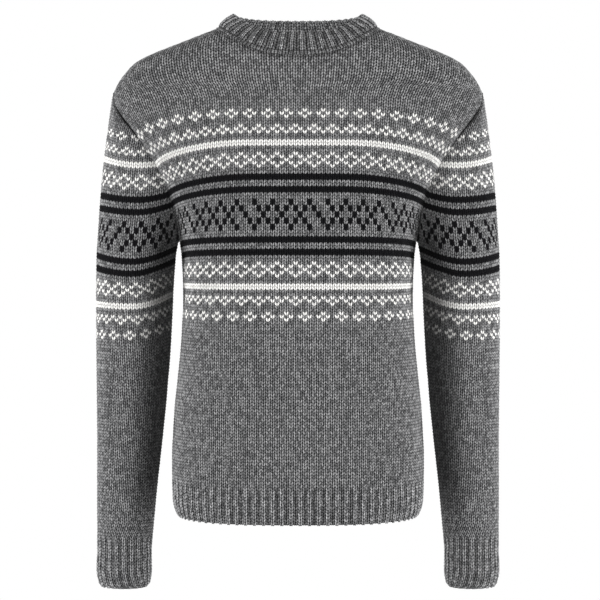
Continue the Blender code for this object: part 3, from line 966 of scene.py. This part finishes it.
def make_sleeve(name, sleeve, mirror, materials, seed):
    """A sleeve as a closed wall of stitches, its wales cut off along the seams."""
    random = np.random.default_rng(seed)
    builder = Builder()
    half_count = int(math.ceil(sleeve.widest() / SLEEVE_WALE)) + 1
    first = int(math.floor((CHART_TOP - SHOULDER_TIP - CAP_RISE) / ROW)) - 1
    wales = np.linspace(-half_count, half_count, 2 * half_count * ACROSS + 1)
    lines = np.arange(first, CUFF_ROW + 0.5 / SLEEVE_STEPS, 1 / SLEEVE_STEPS)
    drop = V_DROP * (1 - np.abs(2 * (wales % 1) - 1))
    row = np.minimum(lines[:, None] + drop[None, :], CUFF_ROW)
    index, wale, row = cut_to_seam(sleeve, wales, lines, row)
    jitter = random.normal(0, STITCH_JITTER, row.shape)
    jitter[np.abs(wale) > half_count] = 0
    points, shade = knit_surface(sleeve.place, wale, row, CUFF_RIB_ROW, jitter)
    # Painted shade on the side of the sleeve that faces the body
    shade *= sleeve.painted_sleeve_shade(points)
    below = points[:, 0, 2] < ARMPIT
    for k in np.nonzero(below)[0]:
        index[k][index[k] == index[k, -1]] = index[k, 0]
    for k in range(1, row.shape[0]):
        same = (row[k] == row[k - 1]) & (wale[k] == wale[k - 1])
        index[k] = np.where(same, index[k - 1], index[k])
    tip = points[:, len(wales) // 2, 2] > SHOULDER_TIP - TIP_FAN
    index[tip] = index[np.nonzero(tip)[0].max(), 0]
    uv = np.stack([np.clip(wale, -half_count, half_count).ravel(), row.ravel()], axis=1)
    builder.add_points(points.reshape(-1, 3), uv, shade.ravel())
    cells = grid_faces(index)
    cell_rows = np.floor(lines[:-1] + 1e-6).astype(int)
    chart = yarn_chart(cell_rows, np.arange(2 * half_count) - half_count + 1)
    builder.add_faces(cells.reshape(-1, 4)[:, ::-1], np.repeat(chart, ACROSS, axis=1).ravel())

    heights = np.concatenate([
        np.linspace(SHOULDER_TIP, ARMPIT, INNER_CAP_ROWS),
        np.linspace(ARMPIT, CUFF, INNER_ARM_ROWS)[1:],
    ])
    shares = np.linspace(0, 1, INNER_COLUMNS)
    front = sleeve.inside("front", heights, shares)
    back = sleeve.inside("back", heights, shares)
    inside = np.concatenate([front[:, ::-1], back[:, 1:]], axis=1)
    inner = np.arange(inside.shape[0] * inside.shape[1]).reshape(inside.shape[:2])
    inner_wales = np.linspace(-half_count, half_count, inside.shape[1])
    uv = np.stack(
        np.broadcast_arrays(inner_wales[None, :], (CHART_TOP - heights[:, None]) / ROW), axis=-1
    )
    start = builder.add_points(inside.reshape(-1, 3), uv.reshape(-1, 2))
    closed = heights < ARMPIT - 0.5
    inner[closed, -1] = inner[closed, 0]
    inner[0] = inner[0, 0]
    inner = inner + start
    inner_cells = grid_faces(inner).reshape(-1, 4)
    builder.add_faces(inner_cells, np.zeros(len(inner_cells)))
    last_tip = int(np.nonzero(tip)[0].max())
    first_closed = int(np.nonzero(below)[0].min())
    open_rows = slice(last_tip, first_closed + 1)
    open_inner = slice(0, int(np.nonzero(closed)[0].min()) + 1)
    for end in (0, -1):
        outside, places = chain(index[open_rows, end], -points[open_rows, end, 2])
        within, inner_places = chain(inner[open_inner, end], -heights[open_inner])
        rim = zip_up(outside, places, within, inner_places)
        builder.add_triangles(rim if end == 0 else [face[::-1] for face in rim])
    ring = zip_up(
        *chain(index[-1], np.linspace(0, 1, index.shape[1])),
        *chain(inner[-1], np.linspace(0, 1, inner.shape[1])),
    )
    builder.add_triangles(ring)
    return builder.finish(name, materials, mirror)


def neckline(panel):
    """Half of a panel's neckline on +X, from the centre line to the neck point."""
    wales = np.linspace(0, HALF_WALES, 1201)
    point, normal, _ = panel.place(wales, panel.top_row(wales))
    count = int(np.argmax(point[:, 2] > NECK_POINT - 0.05)) or len(point)
    surface = panel.surface
    neck_point = (np.array([NECK_POINT]), np.array([1.0]))
    end = surface.read(surface.points, *neck_point)
    end_normal = normalised(surface.read(surface.normals, *neck_point))
    return np.concatenate([point[:count], end]), np.concatenate([normal[:count], end_normal])


def resampled(path, count):
    """Points and directions read at even lengths along a path."""
    points, directions = path
    steps = np.linalg.norm(np.diff(points, axis=0), axis=1)
    length = np.concatenate(([0], np.cumsum(steps)))
    at = np.linspace(0, length[-1], count)
    both = [
        np.stack([np.interp(at, length, values[:, n]) for n in range(3)], axis=1)
        for values in (points, directions)
    ]
    return both[0], normalised(both[1])


def band_edge(quarter_turn):
    """The neckband's top: 0 at the front, 1 at +X, 2 behind, 3 at -X."""
    angle = quarter_turn * math.pi / 2
    power = 2 / ROUNDNESS
    sine = np.sin(angle)
    cosine = np.cos(angle)
    x = BAND_HALF_WIDTH * np.sign(sine) * np.abs(sine) ** power
    depth = np.where(cosine > 0, BAND_FRONT, BAND_BACK)
    y = -depth * np.sign(cosine) * np.abs(cosine) ** power
    rise = (np.abs(x) / BAND_HALF_WIDTH) ** BAND_RISE_POWER
    front = BAND_FRONT_HEIGHT + (BAND_SIDE_HEIGHT - BAND_FRONT_HEIGHT) * rise
    behind = BAND_SIDE_HEIGHT + BAND_BACK_RISE * np.sqrt(np.clip(-cosine, 0, 1))
    height = np.where(cosine > 1e-9, front, behind)
    return np.stack([x, y, height], axis=-1)


def even_turns(turns):
    """Quarter turns round the neckband's top at even lengths within each quarter."""
    fine = np.linspace(0, 4, 4001)
    steps = np.linalg.norm(np.diff(band_edge(fine), axis=0), axis=1)
    length = np.concatenate(([0], np.cumsum(steps)))
    corners = np.arange(5)
    return np.interp(np.interp(turns, corners, np.interp(corners, fine, length)), length, fine)


def band_foot(panels):
    """Points round the neckline and the directions out of the cloth, from the front over +X."""
    count = BAND_WALES // 4 * FOOT_STEPS + 1
    front, back = (resampled(neckline(panels[side]), count) for side in ("front", "back"))
    mirror = np.array([-1, 1, 1])
    feet = []
    outs = []
    for (points, directions), flip, step in (
        (front, 1, 1), (back, 1, -1), (back, mirror, 1), (front, mirror, -1)
    ):
        feet.append((points * flip)[::step][:-1])
        outs.append((directions * flip)[::step][:-1])
    return np.concatenate(feet), np.concatenate(outs)


def band_columns():
    """Where the band's columns lie round it, closer together on the knit wales, and their wales."""
    ribs = BAND_WALES // 2
    knit = np.linspace(0, BAND_KNIT_SHARE, ACROSS + 1)[:-1]
    purl = np.linspace(BAND_KNIT_SHARE, 1, ACROSS + 1)[:-1]
    places = (np.arange(ribs)[:, None] + np.concatenate([knit, purl])[None, :]).ravel() / ribs
    return (places + BAND_START / ribs) % 1.0, np.arange(len(places)) / ACROSS


def band_surface(places, wales, foot, out, random):
    """Corners and painted shade of the doubled rib, row by row from the foot inside to the lip."""
    top = band_edge(even_turns(places * 4))
    up = normalised(top - foot)
    across = normalised(out - up * np.sum(out * up, axis=1, keepdims=True))
    half = BAND_WALL / 2
    straight = np.linalg.norm(top - foot, axis=1) - half - 2.0
    rows = 2 * BAND_ROWS + BAND_TURN_ROWS + 1
    drop = V_DROP * (1 - np.abs(2 * (wales % 1) - 1))
    row = np.repeat(np.linspace(0, rows, rows * BAND_STEPS + 1)[:, None], len(wales), axis=1)
    inside = np.clip(row / BAND_ROWS, 0.01, 1)
    outside = np.clip((rows - 1 - row) / BAND_ROWS, 0, 1)
    over = np.clip((row - BAND_ROWS) / BAND_TURN_ROWS, 0, 1) * math.pi
    rise = np.where(row < BAND_ROWS + 1, inside, outside)
    frontal = 0.4 + 0.6 * np.abs(np.cos(2 * math.pi * places))
    lip = np.clip(row - (rows - 1), 0, 1) * frontal
    middle = foot + up * (rise * straight - lip * BAND_LIP)[..., None]
    direction = across * -np.cos(over)[..., None] + up * np.sin(over)[..., None]
    bulge = BAND_BULGE * np.sin(np.pi * rise)
    wave = rib_wave(wales)
    calm = 1 - 0.7 * np.sin(over)
    relief = STITCH_RELIEF * (stitch_relief((row - drop) % 1, wales % 1) - MEAN_RELIEF)
    raised = BAND_RELIEF * wave * calm * np.clip(rise * 4, 0.2, 1)
    jitter = random.normal(0, BAND_JITTER, row.shape)
    height = half - np.clip(row - BAND_ROWS, 0, 1) + relief + raised + jitter
    linked = np.clip((row - rows + 2) / 0.6, 0, 1)
    loop = np.abs(np.sin(np.pi * wales))
    arch = np.sin(np.pi * np.clip(rows - row, 0, 1))
    lipped = 1.6 + (1.6 * np.clip((rows - row) * 3, 0, 1) + 1.2 * loop * arch) * frontal
    height = height * (1 - linked) + lipped * linked
    groove = np.exp(-(((row - rows + 1.6) / 0.35) ** 2))
    height -= 1.2 * groove
    # Painted shade in the purl recesses of the outer face, under a painted lift of the whole band
    recess = np.clip(0.85 - 1.1 * wave, 0, 1) * np.clip((row - BAND_ROWS) / 2, 0, 1)
    shade = BAND_PAINTED_LIGHT - BAND_PAINTED_SHADE * recess
    # Painted light on the linking loops, painted shade between them and in the groove above them
    shade = shade * (1 - linked) + (0.1 + 1.4 * np.clip(1.6 * loop - 0.5, 0, 1)) * linked
    shade *= 1 - 0.75 * groove
    sole = foot + up * 0.4 + across * 1.6
    return middle + across * bulge[..., None] + direction * height[..., None], shade, row, sole


def make_neckband(name, panels, materials, seed):
    """The doubled 1x1 rib: up the inside, over the rolled edge, down to the linked foot."""
    feet, outs = band_foot(panels)
    places, wales = band_columns()
    at = (places * len(feet)).astype(int) % len(feet)
    foot = feet[at] - outs[at]
    points, shade, row, sole = band_surface(places, wales, foot, outs[at], np.random.default_rng(seed))
    builder = Builder()
    index = np.arange(row.size).reshape(row.shape)
    index = np.concatenate([index, index[:, :1]], axis=1)
    uv = np.stack([np.broadcast_to(wales, row.shape), row], axis=-1)
    builder.add_points(points.reshape(-1, 3), uv.reshape(-1, 2), shade.ravel())
    # The strip under the lip carries painted shade
    start = builder.add_points(sole, uv[-1], np.full(len(sole), SOLE_PAINTED_SHADE))
    corner = np.append(np.arange(len(sole)), 0) + start
    for grid in (index, np.stack((index[-1], corner)), np.stack((corner, index[0]))):
        cells = grid_faces(grid)[..., ::-1].reshape(-1, 4)
        builder.add_faces(cells, np.zeros(len(cells)))
    return builder.finish(name, materials, ring=BAND_WALES)


# Sheets of panel: rows from and to, mesh lines in a row, seed, flat size and area in metres
PanelSheet = namedtuple("PanelSheet", "name side first_row last_row steps seed flat area")
PANEL_SHEETS = (
    PanelSheet("front_upper", "front", None, SPLIT_ROW, 3, 1, (0.60, 0.37), 0.148),
    PanelSheet("front_lower", "front", SPLIT_ROW, HEM_ROW, 3, 2, (0.48, 0.375), 0.1745),
    PanelSheet("back_upper", "back", None, SPLIT_ROW, 2, 3, (0.60, 0.37), 0.153),
    PanelSheet("back_lower", "back", SPLIT_ROW, HEM_ROW, 2, 4, (0.465, 0.375), 0.1665),
)
SLEEVE_STEPS = 2


def dress(piece, node):
    """Puts one sheet of wool in the place of its node."""
    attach(piece, "root")
    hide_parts(node)


def main():
    materials = [wool_material(wool) for wool in WOOLS]
    panels = {side: Panel(side) for side in ("front", "back")}
    sleeve = SleeveMap(panels)
    for sheet in PANEL_SHEETS:
        rows = (sheet.first_row, sheet.last_row)
        piece = make_panel(sheet.name, panels[sheet.side], rows, sheet.steps, materials, sheet.seed)
        dress(piece, sheet.side)
    for side, mirror, seed in (("left", 1, 5), ("right", -1, 6)):
        piece = make_sleeve(f"sleeve_{side}_knit", sleeve, mirror, materials, seed)
        dress(piece, f"sleeve_{side}")
    dress(make_neckband("neckband_rib", panels, materials, 7), "neckband")


def make_camera():
    """Level with the middle of the garment, three metres in front of it."""
    camera = bpy.data.objects.new("camera", bpy.data.cameras.new("camera"))
    bpy.context.scene.collection.objects.link(camera)
    camera.location = CAMERA_PLACE
    camera.rotation_euler = (math.radians(90), 0, 0)
    camera.data.sensor_width = SENSOR
    camera.data.lens = SENSOR * -CAMERA_PLACE[1] / VIEW_WIDTH
    bpy.context.scene.camera = camera


def make_floor():
    """A pale floor well below the hanging garment."""
    mesh = bpy.data.meshes.new("floor")
    signs = ((-1, -1), (1, -1), (1, 1), (-1, 1))
    corners = [(x * FLOOR_SIZE, y * FLOOR_SIZE, FLOOR) for x, y in signs]
    mesh.from_pydata(corners, [], [(0, 1, 2, 3)])
    material = bpy.data.materials.new("floor_paper")
    material.use_nodes = True
    shader = material.node_tree.nodes["Principled BSDF"]
    shader.inputs["Base Color"].default_value = (0.8, 0.8, 0.8, 1)
    shader.inputs["Roughness"].default_value = 0.9
    mesh.materials.append(material)
    floor = bpy.data.objects.new("floor", mesh)
    bpy.context.scene.collection.objects.link(floor)


def make_studio():
    """A white backdrop, dim light all round and wide soft lamps on every side."""
    world = bpy.data.worlds.new("studio")
    bpy.context.scene.world = world
    world.use_nodes = True
    nodes = world.node_tree.nodes
    links = world.node_tree.links
    seen = nodes.new("ShaderNodeLightPath")
    strength = nodes.new("ShaderNodeMapRange")
    strength.inputs["To Min"].default_value = AMBIENT
    strength.inputs["To Max"].default_value = 1.0
    links.new(seen.outputs["Is Camera Ray"], strength.inputs["Value"])
    background = nodes["Background"]
    background.inputs["Color"].default_value = (1, 1, 1, 1)
    links.new(strength.outputs["Result"], background.inputs["Strength"])
    bpy.context.scene.view_settings.view_transform = "Standard"
    for lamp in LAMPS:
        light = bpy.data.lights.new(lamp.name, "AREA")
        light.shape = "RECTANGLE"
        light.size = lamp.width
        light.size_y = LAMP_LENGTH
        light.energy = lamp.power
        holder = bpy.data.objects.new(lamp.name, light)
        turn = math.radians(lamp.azimuth)
        place = Vector((math.sin(turn) * LAMP_DISTANCE, -math.cos(turn) * LAMP_DISTANCE, lamp.height))
        holder.location = place
        holder.rotation_euler = (Vector((0, 0, LAMP_AIM)) - place).to_track_quat("-Z", "Y").to_euler()
        bpy.context.scene.collection.objects.link(holder)


main()
make_floor()
make_camera()
make_studio()
